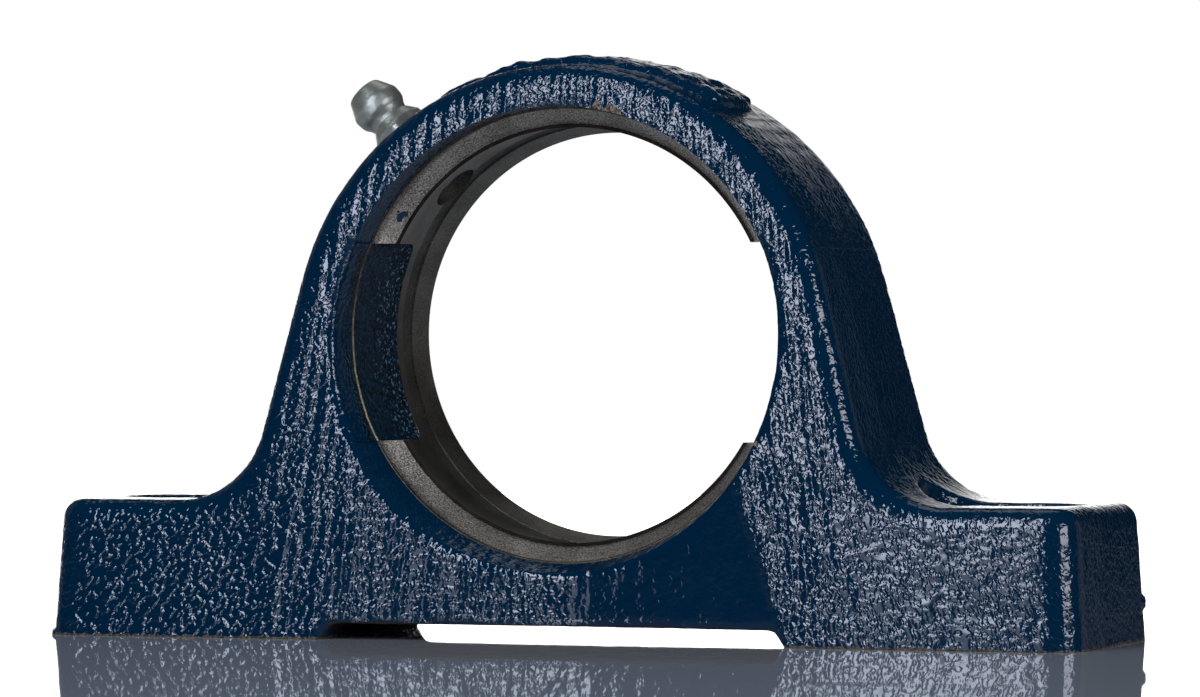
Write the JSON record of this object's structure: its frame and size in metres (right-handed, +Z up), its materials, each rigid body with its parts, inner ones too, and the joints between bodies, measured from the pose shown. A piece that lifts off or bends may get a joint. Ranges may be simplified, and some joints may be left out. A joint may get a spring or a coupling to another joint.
{
  "type": "pillow block bearing housing",
  "caption": "Cast one-piece pillow block housing with a spherical seat for an insert bearing, slotted bolt feet and a grease nipple with a sprung check ball.",
  "frame": {"origin": "middle of the base, on the mounting surface", "axes": "+X along the base, +Y along the bore away from the loading slots, +Z up"},
  "size_m": [0.13, 0.034, 0.07],
  "materials": {
    "painted_casting": "glossy dark blue paint over the cast skin, bare turned iron in the bore",
    "plated_steel": "zinc plated",
    "hardened_ball": "polished",
    "spring_wire": "drawn"
  },
  "bodies": {
    "block": {"housing": "painted_casting", "nipple_body": "plated_steel", "nipple_spring": "spring_wire"},
    "check_ball": {"nipple_check_ball": "hardened_ball"}
  },
  "joints": [
    {"name": "check_ball_slide", "type": "slide", "parent": "block", "child": "check_ball", "axis": [0.7169, 0, -0.6972], "range_m": [0, 0.0009], "stiffness_N_per_m": 300, "springref_m": -0.0015, "deforming": ["nipple_spring"]}
  ]
}
